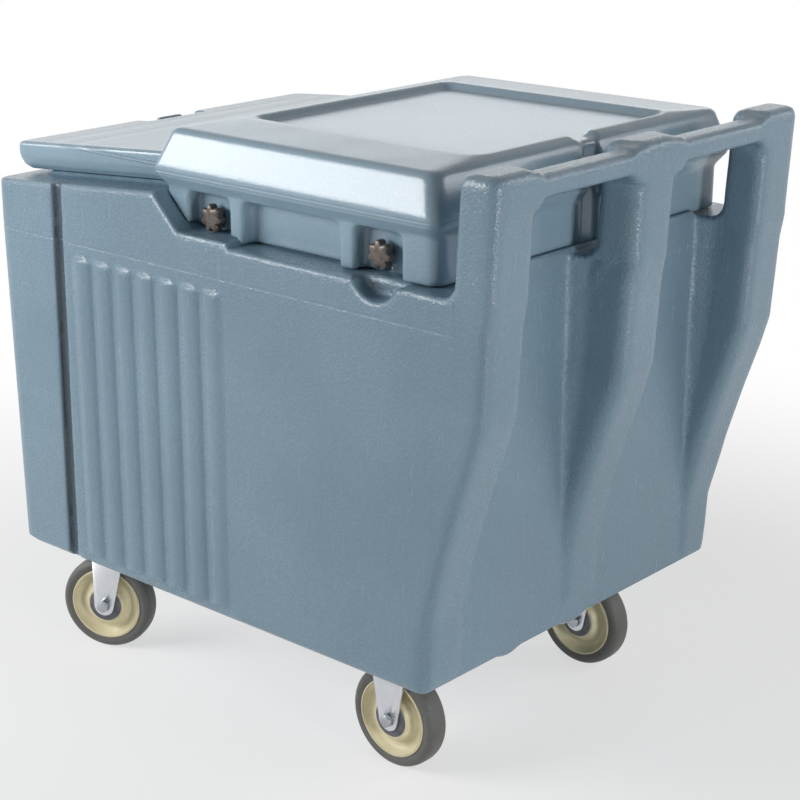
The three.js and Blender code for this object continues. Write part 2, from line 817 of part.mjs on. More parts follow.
function lidBlock(inset) {
  const half = lidWidth / 2;
  const level = (edge, z) =>
    ring([edge + inset, lidLength - inset], half - edge - inset, z, lidCornerRadius, lidCornerRadius);
  return loft([
    level(lidUndercut + lidFootBevel, inset),
    level(lidUndercut, lidFootBevel + inset),
    level(0, lidLowerThickness),
    level(0, lidThickness - lidEdge - inset),
    level(lidEdge, lidThickness - inset),
  ]);
}

const lidPull = () =>
  block(
    [-overrun, lidPullReach],
    [-lidPullWidth / 2, lidPullWidth / 2],
    [lidThickness - lidPullDepth, lidThickness + overrun],
  );

function slidingLid() {
  const lug = block(
    [lidEdge, lidLugReach],
    [-lidLugWidth / 2, lidLugWidth / 2],
    [lidThickness - lidPullDepth - clearance, lidThickness - clearance],
  );
  const ventRod = turnedToX(rod(lidVentRadius, [-skin - overrun, overrun]));
  const vent = moved(ventRod, lidLength, 0, lidThickness / 2);
  const shell = cut(lidBlock(0), [lidPull()]);
  return lidPlaced(cut(join([shell, lug]), [lidCavity(0), vent]));
}

function lidCavity(inset) {
  const under = lidPull().translate([skin + inset, 0, -skin - inset]);
  const wider = join([-skin - inset, 0, skin + inset].map((y) => under.translate([0, y, 0])));
  return cut(lidBlock(skin + inset), [wider]);
}

const lidInsulation = () => lidPlaced(lidCavity(clearance));

// Raised cover: skirt, lip, slanted panels and top, as a loft. A positive inset gives the hollow inside.
function coverLoft(inset) {
  const level = (front, rear, half, z) => {
    const [frontRadius, rearRadius] = [coverFrontRadius, coverCornerRadius - inset];
    return ring([front + inset, rear - inset], half - inset, z, frontRadius, rearRadius);
  };
  const shoulder = lipZ - lipThickness;
  const bottom = inset > 0 ? ledgeZ - overrun : ledgeZ + coverSeatGap;
  const topFront = lipFrontX + panelFrontSetback;
  const topRear = lipRearX - panelSetback;
  const rings = [
    level(skirtFrontX, skirtRearX, skirtY, bottom),
    level(skirtFrontX, skirtRearX, skirtY, shoulder - skirtBandHeight),
    level(lipFrontX, lipRearX, lipY, shoulder),
    level(lipFrontX, lipRearX, lipY, lipZ),
    level(topFront, topRear, coverTopY, coverTopZ - topRound - inset),
  ];
  if (inset === 0) {
    const flangeY = trayY + trayFlange;
    rings.push(
      level(topFront + topRound, topRear - topRound, coverTopY - topRound, coverTopZ),
      level(trayX[0] - trayFlange, trayX[1] + topRound, flangeY, trayRimZ),
    );
  }
  return loft(rings);
}

// Everything below this line, along the ledge, ramp and rim, belongs to the body.
function belowCover() {
  const lift = coverSeatGap / Math.cos(Math.atan2(rampRise, rampLength));
  const side = outline([
    [frontX, rideHeight],
    [handleX, rideHeight],
    [handleX, ledgeZ + coverSeatGap],
    [handleX - frontLedgeEnd + coverSeatGap, ledgeZ + coverSeatGap],
    [handleX - frontLedgeEnd + coverSeatGap, frontLedgeZ + coverSeatGap],
    [rampFootX + lift, frontLedgeZ + coverSeatGap],
    [rampTopX + lift, rampTopZ + coverSeatGap],
    [frontX, rampTopZ + coverSeatGap - (rampTopX - frontX) * slope],
  ]);
  return prismY(side, [-sideY, sideY]);
}

// The mouth that the lid slides through.
function coverMouth() {
  const half = lidWidth / 2 + mouthGap;
  const roof = (x) => lidUnderZ(x) + lidThickness / Math.cos(slideAngle) + mouthGap;
  const inside = lipFrontX + panelFrontSetback + 2 * skin;
  const side = outline([
    [frontX, rideHeight],
    [inside, rideHeight],
    [inside, roof(inside)],
    [frontX, roof(frontX)],
  ]);
  return prismY(side, [-half, half]);
}

const coverTray = () =>
  prismZ(roundedRectangle(trayX, [-trayY, trayY], trayRadius), [trayFloorZ, trayRimZ + overrun]);

// Under the tray the roof drops with it, so that the wall stays one skin thick.
function trayRoof() {
  const half = trayY + skin;
  const shape = roundedRectangle([trayX[0] - skin, trayX[1] + skin], [-half, half], trayRadius);
  return prismZ(shape, [trayFloorZ - skin, coverTopZ - skin / 2]);
}

// The three pockets of one side of the skirt, as [first x, last x].
const pocketSpans = [
  [frontKnobX - knobPocketWidth / 2, frontKnobX + knobPocketWidth / 2],
  [frontKnobX + knobPocketWidth / 2 + pocketRibWidth, rearKnobX - knobPocketWidth / 2 - pocketRibWidth],
  [rearKnobX - knobPocketWidth / 2, rearKnobX + knobPocketWidth / 2],
];
const pocketTopZ = lipZ - pocketTopDrop;

function skirtPocket([x0, x1]) {
  const shape = roundedRectangle([x0, x1], [ledgeZ - overrun - pocketRadius, pocketTopZ], pocketRadius);
  return prismY(shape, [-sideY - overrun, -pocketBackY]);
}
function pocketLining([x0, x1]) {
  const y = [-skirtY + clearance, skin - pocketBackY];
  return block([x0 - skin, x1 + skin], y, [ledgeZ + coverSeatGap, pocketTopZ + skin]);
}
function studSlot(x) {
  const half = studSlotWidth / 2;
  const round = turnedToY(rod(half, [0, sideY]));
  const slotBelow = block([-half, half], [0, sideY], [-knobHeight - overrun, 0]);
  return moved(mirrored(join([round, slotBelow])), x, 0, knobZ);
}

// The tray drains through a notch in its rear rim and down a channel that clears the middle strut.
function drainChannel(margin) {
  const half = drainChannelWidth / 2 + margin;
  const x0 = lipRearX - drainChannelDepth - margin;
  return block([x0, handleX], [-half, half], [ledgeZ - overrun, trayRimZ + overrun]);
}
const drainNotch = () =>
  block(
    [trayX[1] - overrun, handleX],
    [-drainNotchWidth / 2, drainNotchWidth / 2],
    [trayFloorZ, trayRimZ + overrun],
  );

function raisedCover() {
  const linings = pocketSpans.map(pocketLining);
  const channelLining = drainChannel(skin).intersect(coverLoft(0));
  const shell = join([cut(coverLoft(0), [coverLoft(skin)]), trayRoof(), channelLining]);
  const lined = join([shell, ...linings, ...linings.map(mirrored)]);
  const pockets = pocketSpans.map(skirtPocket);
  const slots = [studSlot(frontKnobX), studSlot(rearKnobX)];
  return cut(lined, [
    belowCover(),
    coverMouth(),
    coverTray(),
    drainNotch(),
    drainChannel(0),
    ...pockets,
    ...pockets.map(mirrored),
    ...slots,
    ...slots.map(mirrored),
  ]);
}

// Star knob: seven round lobes, a boss behind it and a blind hole for the stud.
function starKnob(x, side) {
  const points = Array.from({ length: knobFacets }, (_, i) => {
    const angle = (i / knobFacets) * 2 * Math.PI;
    const r = knobRadius + knobLobe * Math.cos(knobLobes * angle);
    return [r * Math.cos(angle), r * Math.sin(angle)];
  });
  const star = new THREE.ExtrudeGeometry(outline(points), {
    depth: knobThickness - 2 * knobBevel,
    bevelThickness: knobBevel,
    bevelSize: knobBevel,
    bevelOffset: -knobBevel,
    bevelSegments: 1,
  }).translate(0, 0, knobBossLength + knobBevel);
  const boss = rod(knobBossRadius, [0, knobBossLength + knobBevel]);
  const blind = rod(studRadius + clearance, [-overrun, studEngage + clearance]);
  const upright = cut(join([solidOf(star), boss]), [blind]);
  const facing = upright.rotate([-90, 0, 0]).translate([0, knobInnerY, 0]);
  return moved(side > 0 ? facing : mirrored(facing), x, 0, knobZ);
}

const stud = (x, side) => sideRod(studRadius, x, knobZ, side, [studInnerY, knobInnerY + studEngage]);

// Perforated shelf that keeps the ice out of its melt water.
function drainShelf() {
  const z = wellFloorZ + clearance;
  const plateZ = [z + shelfStandoff, z + shelfStandoff + shelfThickness];
  const spanX = [wellFrontX + wellDraft + shelfMargin, wellRearX - wellDraft - shelfMargin];
  const half = wellY - wellDraft - shelfMargin;
  const middleX = (spanX[0] + spanX[1]) / 2;
  const plate = prismZ(roundedRectangle(spanX, [-half, half], shelfRadius), plateZ);
  const feet = [spanX[0] + shelfFootInset, spanX[1] - shelfFootInset].flatMap((x) =>
    [-half + shelfFootInset, half - shelfFootInset].map((y) =>
      moved(rod(shelfFootRadius, [z, plateZ[0] + shelfThickness / 2]), x, y, 0),
    ),
  );
  const drill = rod(shelfHoleRadius, [plateZ[0] - overrun, plateZ[1] + overrun], shelfHoleFacets);
  const holes = [];
  for (let i = 0; i < shelfHoleColumns; i += 1) {
    for (let j = 0; j < shelfHoleRows; j += 1) {
      const x = middleX + (i - (shelfHoleColumns - 1) / 2) * shelfHolePitch;
      const y = (j - (shelfHoleRows - 1) / 2) * shelfHolePitch;
      holes.push(moved(drill, x, y, 0));
    }
  }
  return cut(join([plate, ...feet]), holes);
}

// Drain spigot, along -X from the well out into its recess.
const alongDrain = (solid) => solid.rotate([0, -90, 0]);
const wellFaceX = wellFrontX + wellDraft;
const ringProfile = (inner, outer, [z0, z1]) =>
  turned([[inner, z0], [outer, z0], [outer, z1], [inner, z1]]);
const valveFarX = recessBackX - washerThickness - lockNutThickness - 3 * clearance - valveLength;

function drainTube() {
  const flange = [-drainFlangeThickness - clearance, -clearance];
  const reach = wellFaceX - valveFarX - tubeStub;
  const straight = join([
    ringProfile(drainBore, drainFlangeRadius, flange),
    ringProfile(drainBore, drainTubeRadius, [flange[0], reach]),
  ]);
  return moved(alongDrain(straight), wellFaceX, 0, drainZ);
}
function drainWasher() {
  const span = [clearance, clearance + washerThickness];
  const flat = ringProfile(drainTubeRadius + clearance, washerRadius, span);
  return moved(alongDrain(flat), recessBackX, 0, drainZ);
}
function drainLockNut() {
  const z0 = washerThickness + 2 * clearance;
  const span = [z0, z0 + lockNutThickness];
  const nut = cut(hexagon(lockNutRadius, span), [rod(drainTubeRadius + clearance, [0, span[1] + overrun])]);
  return moved(alongDrain(nut), recessBackX, 0, drainZ);
}
function drainValve() {
  const barrel = rod(valveRadius, [0, valveLength]);
  const socket = rod(drainTubeRadius + clearance, [tubeStub - clearance, valveLength + overrun]);
  const stem = rod(leverStemRadius + clearance, [-overrun, tubeStub / 2]);
  const along = (solid) => moved(turnedToX(solid), valveFarX, 0, drainZ);
  const down = (solid) => moved(solid, valveFarX + valveLength / 2, 0, drainZ);
  const spout = down(rod(spoutRadius, [-spoutLength, 0]));
  const passage = down(rod(spoutBore, [-spoutLength - overrun, 0]));
  return cut(join([along(barrel), spout]), [along(socket), passage, along(stem)]);
}
function drainLever() {
  const stem = rod(leverStemRadius, [-leverStemLength, tubeStub / 2 - clearance]);
  const blade = prismZ(
    roundedRectangle([-leverWidth / 2, leverWidth / 2], [-leverWidth / 2, leverLength], leverWidth / 2),
    [-leverStemLength - leverThickness + clearance, -leverStemLength + clearance],
  );
  return moved(turnedToX(join([stem, blade])), valveFarX, 0, drainZ);
}

// Casters. Each is modelled with its kingpin or fork axis on Z, the wheel trailing towards -X.
const plateTopZ = underZ - clearance;
const plateZ = [plateTopZ - plateThickness, plateTopZ];
const forkTopZ = plateZ[0] - forkHeadDrop;
const legInnerY = hubWidth / 2 + guardThickness + 2 * clearance;
const legY = [legInnerY, legInnerY + forkThickness];

function casterPlate(rigid) {
  const shape = roundedRectangle(
    [-plateLength / 2, plateLength / 2],
    [-plateWidth / 2, plateWidth / 2],
    plateRadius,
  );
  const head = hexagon(boltRadius, [plateZ[0] - boltHeadHeight, plateZ[0] + clearance]);
  const [x, y] = [boltSpanX / 2, boltSpanY / 2];
  const heads = [[x, y], [-x, y], [x, -y], [-x, -y]].map(([a, b]) => moved(head, a, b, 0));
  const plate = join([prismZ(shape, plateZ), ...heads]);
  const hole = rod(kingpinRadius + clearance, [0, plateTopZ + overrun]);
  return rigid ? plate : cut(plate, [hole]);
}

// Fork legs: a flat side view from the span [rear, front] at their top, down to a round end at the axle.
function forkLegs(trail, topZ, [rear, front]) {
  const lean = (x) => Math.atan2(Math.abs(x + trail) - legEndRadius, topZ - axleZ);
  const [start, end] = [Math.PI + lean(rear), 2 * Math.PI - lean(front)];
  const round = Array.from({ length: legFacets + 1 }, (_, i) => {
    const angle = start + (i / legFacets) * (end - start);
    return [legEndRadius * Math.cos(angle) - trail, axleZ + legEndRadius * Math.sin(angle)];
  });
  const shape = outline([[rear, topZ], ...round, [front, topZ]]);
  const hole = moved(turnedToY(rod(axleRadius + clearance, [0, legY[1] + overrun])), -trail, 0, axleZ);
  const leg = prismY(shape, legY).subtract(hole);
  return [leg, mirrored(leg)];
}

function swivelFork() {
  const topZ = forkTopZ;
  const half = legY[1];
  const rear = -casterTrail - legEndRadius;
  const head = block([rear, swivelHeadReach], [-half, half], [topZ - forkThickness, topZ]);
  const raceTop = forkTopZ + raceHeight;
  const raceFoot = topZ - clearance;
  const profile = [[0, raceFoot], [raceLipRadius, raceFoot], [raceRadius, raceTop], [0, raceTop]];
  const race = turned(profile, raceFacets);
  const hole = rod(kingpinRadius + clearance, [0, raceTop + overrun]);
  const legs = forkLegs(casterTrail, topZ, [rear, rear + swivelForkWidth]);
  return cut(join([head, ...legs, race]), [hole]);
}

// The fixed half of the swivel, and the kingpin that hangs the fork from the plate.
function swivelRace() {
  const bottom = forkTopZ + raceHeight + raceGap;
  const top = plateZ[0] - clearance;
  const profile = [[0, bottom], [raceRadius, bottom], [raceLipRadius, top], [0, top]];
  return cut(turned(profile, raceFacets), [rod(kingpinRadius + clearance, [0, top + overrun])]);
}
function kingpin() {
  const headTop = forkTopZ - forkThickness - clearance;
  return join([
    rod(kingpinRadius, [headTop - kingpinHeadHeight, plateTopZ]),
    rod(kingpinHeadRadius, [headTop - kingpinHeadHeight, headTop]),
  ]);
}

function rigidFork() {
  const topZ = plateZ[0] - clearance;
  const half = legY[1];
  const span = [-rigidForkWidth / 2, rigidForkWidth / 2];
  const head = block(span, [-half, half], [topZ - forkThickness, topZ]);
  return join([head, ...forkLegs(0, topZ, span)]);
}

// The wheel's parts turn about Y at the axle.
const onAxle = (solid, trail) => moved(solid.rotate([-90, 0, 0]), -trail, 0, axleZ);

function tyre() {
  const flat = 1 / Math.cos(Math.PI / wheelFacets);
  const outer = (wheelDiameter / 2) * flat;
  const inner = rimRadius + clearance;
  const half = wheelWidth / 2;
  const profile = [
    [inner, -half + rimBead / 2],
    [outer - tyreShoulder, -half],
    [outer - tyreShoulder / 3, -half + tyreShoulder / 3],
    [outer, -half + tyreShoulder],
    [outer, half - tyreShoulder],
    [outer - tyreShoulder / 3, half - tyreShoulder / 3],
    [outer - tyreShoulder, half],
    [inner, half - rimBead / 2],
  ];
  return turned(profile, wheelFacets, Math.PI / wheelFacets);
}
function wheelCentre() {
  const [web, rim, hub] = [webThickness / 2, rimWidth / 2, hubWidth / 2];
  const inner = bearingRadius + clearance;
  const half = [
    [inner, hub],
    [hubRadius, hub],
    [hubRadius + rimBead, web],
    [rimRadius - 2 * rimBead, web],
    [rimRadius - rimBead, rim],
    [rimRadius, rim],
  ];
  const profile = [...half, ...half.map(([r, h]) => [r, -h]).reverse()];
  return turned(profile.reverse(), wheelFacets, Math.PI / wheelFacets);
}
function bearingSleeve() {
  const face = hubWidth / 2 + clearance;
  const end = face + guardThickness;
  const inner = axleRadius + clearance;
  return turned([
    [inner, -end],
    [guardRadius, -end],
    [guardRadius, -face],
    [bearingRadius, -face],
    [bearingRadius, face],
    [guardRadius, face],
    [guardRadius, end],
    [inner, end],
  ]);
}
function axleBolt() {
  const outside = legY[1] + clearance;
  return join([
    rod(axleRadius, [-outside - clearance, outside + axleNutLength + axleEnd]),
    hexagon(axleHeadRadius, [-outside - axleHeadHeight, -outside]),
  ]);
}
function axleNut() {
  const outside = legY[1] + clearance;
  const bore = rod(axleRadius + clearance, [0, outside + axleNutLength + overrun]);
  return cut(hexagon(axleHeadRadius, [outside, outside + axleNutLength]), [bore]);
}

// One caster as a group. The fork and all that it carries is turned by the steering angle.
function caster(prefix, x, y, rigid, steer) {
  const trail = rigid ? 0 : casterTrail;
  const group = new THREE.Group();
  group.position.set(x, y, 0);
  const turning = new THREE.Group();
  turning.rotation.z = steer;
  group.add(turning);
  group.add(named(`${prefix}_caster_plate`, casterPlate(rigid), zinc));
  if (!rigid) {
    group.add(named(`${prefix}_swivel_race`, swivelRace(), zinc));
    group.add(named(`${prefix}_kingpin`, kingpin(), steel));
  }
  turning.add(named(`${prefix}_fork`, rigid ? rigidFork() : swivelFork(), zinc));
  turning.add(named(`${prefix}_axle_bolt`, onAxle(axleBolt(), trail), steel));
  turning.add(named(`${prefix}_axle_nut`, onAxle(axleNut(), trail), steel));
  turning.add(named(`${prefix}_bearing_sleeve`, onAxle(bearingSleeve(), trail), hubGrey));
  turning.add(named(`${prefix}_wheel_centre`, onAxle(wheelCentre(), trail), wheelBeige));
  turning.add(named(`${prefix}_tyre`, onAxle(tyre(), trail), tyreGrey));
  return group;
}

// The whole bin
const iceBin = new THREE.Group();
iceBin.add(named("body_shell", bodyShell(), slateBlue));
iceBin.add(named("body_insulation", bodyInsulation(), foam));
iceBin.add(named("fill_plug", fillPlug(), slateBlue));
iceBin.add(named("raised_cover", raisedCover(), slateBlue));
iceBin.add(named("sliding_lid", slidingLid(), slateBlue));
iceBin.add(named("lid_insulation", lidInsulation(), foam));
iceBin.add(named("drain_shelf", drainShelf(), shelfGrey));
iceBin.add(named("drain_tube", drainTube(), spigotWhite));
iceBin.add(named("drain_washer", drainWasher(), hubGrey));
iceBin.add(named("drain_lock_nut", drainLockNut(), spigotWhite));
iceBin.add(named("drain_valve", drainValve(), spigotWhite));
iceBin.add(named("drain_lever", drainLever(), hubGrey));
for (const [place, x, side] of knobPlaces) {
  iceBin.add(named(`${place}_knob`, starKnob(x, side), knobBrown));
  iceBin.add(named(`${place}_knob_stud`, stud(x, side), steel));
}
iceBin.add(caster("front_left", frontX + kingpinInset, -track / 2, false, leftSteer));
iceBin.add(caster("front_right", frontX + kingpinInset, track / 2, false, rightSteer));
iceBin.add(caster("rear_left", handleX - rearWheelInset, -track / 2, true, 0));
iceBin.add(caster("rear_right", handleX - rearWheelInset, track / 2, true, 0));

export default iceBin;
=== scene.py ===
import json
import math

import bmesh
import bpy
import numpy as np
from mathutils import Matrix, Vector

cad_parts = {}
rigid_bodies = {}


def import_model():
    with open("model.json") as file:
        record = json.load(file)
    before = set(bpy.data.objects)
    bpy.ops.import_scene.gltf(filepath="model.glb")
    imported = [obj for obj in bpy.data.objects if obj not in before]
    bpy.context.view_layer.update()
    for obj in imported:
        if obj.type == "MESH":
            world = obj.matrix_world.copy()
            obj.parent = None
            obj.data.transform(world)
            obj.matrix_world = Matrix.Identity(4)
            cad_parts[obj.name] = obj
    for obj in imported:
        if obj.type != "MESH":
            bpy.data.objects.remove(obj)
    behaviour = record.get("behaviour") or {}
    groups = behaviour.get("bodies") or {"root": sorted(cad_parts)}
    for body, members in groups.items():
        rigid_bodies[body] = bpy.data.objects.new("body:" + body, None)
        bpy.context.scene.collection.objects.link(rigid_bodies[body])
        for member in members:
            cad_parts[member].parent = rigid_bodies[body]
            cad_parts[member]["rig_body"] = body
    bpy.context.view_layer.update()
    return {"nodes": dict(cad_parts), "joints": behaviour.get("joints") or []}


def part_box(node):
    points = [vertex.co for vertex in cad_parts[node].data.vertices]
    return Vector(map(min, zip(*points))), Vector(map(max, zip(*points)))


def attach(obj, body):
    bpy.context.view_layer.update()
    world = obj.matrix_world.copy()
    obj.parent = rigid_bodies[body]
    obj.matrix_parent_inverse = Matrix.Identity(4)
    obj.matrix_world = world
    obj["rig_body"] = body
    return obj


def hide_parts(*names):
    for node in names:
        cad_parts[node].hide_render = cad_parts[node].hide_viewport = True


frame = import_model()
joints = {joint["name"]: joint for joint in frame["joints"]}
print("frame loaded:", len(frame["nodes"]), "nodes")


# camera, fitted to the photograph: turned 41.6 degrees round the bin and 18.4 above it
cameraSetup = {
    "place": (1.5414, -1.7126, 1.1369),
    "azimuth": 41.577,
    "elevation": 18.385,
    "lens": 85.80,
    "sensor": 36.0,
}


def addCamera(setup):
    data = bpy.data.cameras.new("camera")
    data.lens = setup["lens"]
    data.sensor_width = setup["sensor"]
    camera = bpy.data.objects.new("camera", data)
    camera.location = setup["place"]
    tilt = math.radians(90 - setup["elevation"])
    camera.rotation_euler = (tilt, 0, math.radians(setup["azimuth"]))
    bpy.context.scene.collection.objects.link(camera)
    bpy.context.scene.camera = camera


addCamera(cameraSetup)
print("camera placed")


class Wire:
    # an output socket that takes part in sums: each operator adds its own Math node
    def __init__(self, recipe, socket):
        self.recipe = recipe
        self.socket = socket

    def maths(self, operation, first, second=0.0):
        return self.recipe.node("Math", {"operation": operation}, {0: first, 1: second})

    def __add__(self, other):
        return self.maths("ADD", self, other)

    def __radd__(self, other):
        return self.maths("ADD", other, self)

    def __sub__(self, other):
        return self.maths("SUBTRACT", self, other)

    def __rsub__(self, other):
        return self.maths("SUBTRACT", other, self)

    def __mul__(self, other):
        return self.maths("MULTIPLY", self, other)

    def __rmul__(self, other):
        return self.maths("MULTIPLY", other, self)

    def __abs__(self):
        return self.maths("ABSOLUTE", self)


class Recipe:
    # a material and the nodes that make it
    def __init__(self, name, fixed):
        self.material = bpy.data.materials.new(name)
        self.material.use_nodes = True
        self.tree = self.material.node_tree
        self.shader = self.tree.nodes["Principled BSDF"]
        for socket, value in fixed.items():
            self.shader.inputs[socket].default_value = value

    def node(self, kind, settings=None, inputs=None, output=0):
        made = self.tree.nodes.new("ShaderNode" + kind)
        for key, value in (settings or {}).items():
            setattr(made, key, value)
        for key, value in (inputs or {}).items():
            self.feed(made, key, value)
        return Wire(self, made.outputs[output])

    def feed(self, target, key, value):
        if isinstance(value, Wire):
            self.tree.links.new(value.socket, target.inputs[key])
        else:
            target.inputs[key].default_value = value

    def finish(self, varied):
        for key, value in varied.items():
            self.feed(self.shader, key, value)
        return self.material


def linear(red, green, blue):
    # screen values from 0 to 255 as the linear colour that a shader takes
    share = np.array([red, green, blue]) / 255
    curved = np.where(share <= 0.04045, share / 12.92, ((share + 0.055) / 1.055) ** 2.4)
    return (*curved.tolist(), 1.0)


def noise(recipe, place, size, detail=2.0, roughness=0.5):
    # size is the width in metres of one blot of the noise
    inputs = {"Vector": place, "Scale": 1 / size, "Detail": detail, "Roughness": roughness}
    return recipe.node("TexNoise", {}, inputs)


def ramp(recipe, value, low, high):
    # 0 below low, 1 above high, and smooth between them
    inputs = {"Value": value, "From Min": low, "From Max": high}
    return recipe.node("MapRange", {"interpolation_type": "SMOOTHSTEP"}, inputs)


def ridge(recipe, value, middle, half):
    # 1 along the middle of a line and 0 further than half from it
    return 1 - ramp(recipe, abs(value - middle), half * 0.3, half)


def tinted(recipe, factor, first, second):
    return recipe.node("Mix", {"data_type": "RGBA"}, {0: factor, 6: first, 7: second}, 2)


def bumped(recipe, height, distance, under=None):
    # distance is in metres for a height of 1; under is the bump that this one lies on
    inputs = {"Height": height, "Distance": distance, "Strength": 1.0}
    if under is not None:
        inputs["Normal"] = under
    return recipe.node("Bump", {}, inputs, "Normal")


def axesOf(recipe, place):
    return [recipe.node("SeparateXYZ", {}, {0: place}, axis) for axis in "XYZ"]


# moulded plastic: slate blue with a pebble, slow waves, faint clouds of paler colour and fine upright scuffs;
# sizes and bump depths are in metres
plasticFinish = {
    "cloudSize": 0.22,
    "cloudSpan": (0.3, 0.7),
    "cloudRoughness": 0.06,
    "waveSize": 0.07,
    "pebbleSize": 0.0031,
    "pebbleSpan": (0.45, 0.75),
    "pebblePaleness": 0.35,
    "grainSize": 0.0014,
    "grainShare": 0.35,
    "grainRoughness": 0.05,
    "scuffSize": (0.004, 0.004, 0.05),
    "scuffSpan": (0.62, 0.78),
    "scuffPaleness": 0.07,
    "scuffRoughness": 0.08,
    "markDepth": 0.0006,
}
# the cover and the lid are smoother than the body; their colour is painted a little paler than the body's as
# painted light, lightening the cover's shaded skirt
shellPlastic = {
    "colour": (120, 145, 161),
    "pale": (134, 158, 173),
    "deep": (112, 137, 153),
    "gloss": 0.21,
    "pebbleDepth": 0.0008,
    "waveDepth": 0.0006,
}
coverPlastic = {
    "colour": (143, 168, 184),
    "pale": (158, 181, 194),
    "deep": (136, 161, 177),
    "gloss": 0.17,
    "pebbleDepth": 0.00014,
    "waveDepth": 0.0007,
}


def mouldedPlastic(name, plastic, marks):
    # marks gives the height and the wear of the mould's own marks, and as its third value (dust) the strength
    # of the painted shade in the body's groove; that value is None where there is none
    look = plasticFinish
    recipe = Recipe(name, {"IOR": 1.5})
    place = recipe.node("TexCoord", {}, {}, "Object")
    cloud = noise(recipe, place, look["cloudSize"], 2)
    wave = noise(recipe, place, look["waveSize"], 1)
    pebble = noise(recipe, place, look["pebbleSize"], 2)
    grain = noise(recipe, place, look["grainSize"], 1)
    drawn = recipe.node("Mapping", {}, {0: place, 3: tuple(1 / size for size in look["scuffSize"])})
    scuff = ramp(recipe, noise(recipe, drawn, 1.0, 3, 0.6), *look["scuffSpan"])
    height, wear, dust = marks(recipe, place)

    clouded = ramp(recipe, cloud, *look["cloudSpan"])
    colour = tinted(recipe, clouded, linear(*plastic["deep"]), linear(*plastic["colour"]))
    peaks = ramp(recipe, pebble, *look["pebbleSpan"])
    paleness = peaks * look["pebblePaleness"] + scuff * look["scuffPaleness"]
    colour = tinted(recipe, paleness, colour, linear(*plastic["pale"]))
    colour = tinted(recipe, wear, colour, linear(*plastic["pale"]))
    # painted shade: dust darkens the colour towards black in the body's groove, standing in for the shade
    # that falls there
    if dust is not None:
        colour = tinted(recipe, dust, colour, linear(0, 0, 0))

    rough = plastic["gloss"] + look["cloudRoughness"] * cloud
    rough = rough + look["grainRoughness"] * grain + look["scuffRoughness"] * scuff
    normal = bumped(recipe, wave, plastic["waveDepth"])
    normal = bumped(recipe, pebble + grain * look["grainShare"], plastic["pebbleDepth"], normal)
    normal = bumped(recipe, height, look["markDepth"], normal)
    return recipe.finish({"Base Color": colour, "Roughness": rough, "Normal": normal})


# marks of the body's mould, in metres: the parting line, the short upright line beside the ribs, and the
# groove, which runs from its low end to its high end on both sides and whose colour is darkened towards black
# as painted shade
mouldMarks = {
    "partingZ": 0.587,
    "partingHalf": 0.0022,
    "partingStep": 0.002,
    "stepHeight": 0.6,
    "turnX": (0.348, 0.35),
    "lineX": 0.005,
    "lineHalf": 0.002,
    "lineZ": (0.568, 0.624),
    "lineFade": 0.004,
    "lineHeight": 0.5,
    "grooveLow": (-0.289, 0.163),
    "grooveHigh": (-0.283, 0.66),
    "grooveShadeSpan": (0.00665, 0.010925),
    "sideY": (0.272, 0.278),
    # dust is the strength of the painted shade in the groove
    "dust": 0.62,
    "wear": 0.32,
}


def bodyMarks(recipe, place):
    marks = mouldMarks
    x, y, z = axesOf(recipe, place)
    before = 1 - ramp(recipe, x, *marks["turnX"])
    parting, step = marks["partingZ"], marks["partingStep"]
    line = ridge(recipe, z, parting, marks["partingHalf"]) * before
    above = ramp(recipe, z, parting - step, parting + step) * before
    low, high = marks["lineZ"]
    fade = marks["lineFade"]
    upright = ramp(recipe, z, low, low + fade) * (1 - ramp(recipe, z, high - fade, high))
    upright = upright * ridge(recipe, x, marks["lineX"], marks["lineHalf"])
    height = above * marks["stepHeight"] - line * marks["lineHeight"] + upright * marks["lineHeight"]
    # painted shade: a band along the groove's lean on both sides, darkest at its middle
    (lowX, lowZ), (highX, highZ) = marks["grooveLow"], marks["grooveHigh"]
    lean = (highX - lowX) / (highZ - lowZ)
    away = abs(x - (z - lowZ) * lean - lowX)
    dusty = (1 - ramp(recipe, away, *marks["grooveShadeSpan"])) * ramp(recipe, abs(y), *marks["sideY"])
    return height, (line + upright) * marks["wear"], dusty * marks["dust"]


# two fine ridges along the cover's lip, in metres above the floor
lipMarks = {"ridges": (0.6935, 0.6975), "half": 0.0012, "wear": 0.15}


def coverMarks(recipe, place):
    z = axesOf(recipe, place)[2]
    first, second = [ridge(recipe, z, level, lipMarks["half"]) for level in lipMarks["ridges"]]
    return first + second, (first + second) * lipMarks["wear"], None


# plain finishes: two close colours in blots of the given size, with fine grain of the given depth
plainLook = {"blotSpan": (0.35, 0.7), "grainSize": 0.0012, "blotRoughness": 0.14}


def plainFinish(name, base, other, size, gloss, depth):
    recipe = Recipe(name, {})
    place = recipe.node("TexCoord", {}, {}, "Object")
    blot = noise(recipe, place, size, 3, 0.6)
    grain = noise(recipe, place, plainLook["grainSize"], 2, 0.6)
    colour = tinted(recipe, ramp(recipe, blot, *plainLook["blotSpan"]), linear(*base), linear(*other))
    rough = gloss + plainLook["blotRoughness"] * blot
    return recipe.finish({"Base Color": colour, "Roughness": rough, "Normal": bumped(recipe, grain, depth)})


# tyre rubber: dark grey with clouds, and pale dust in small spots
tyreFinish = {
    "dark": (88, 88, 86),
    "pale": (108, 107, 104),
    "dust": (136, 134, 129),
    "cloudSize": 0.03,
    "dustSize": 0.006,
    "dustSpan": (0.55, 0.8),
    "dustShare": 0.4,
    "grainSize": 0.0009,
    "grainDepth": 0.00012,
    "gloss": 0.42,
    "dustRoughness": 0.2,
}


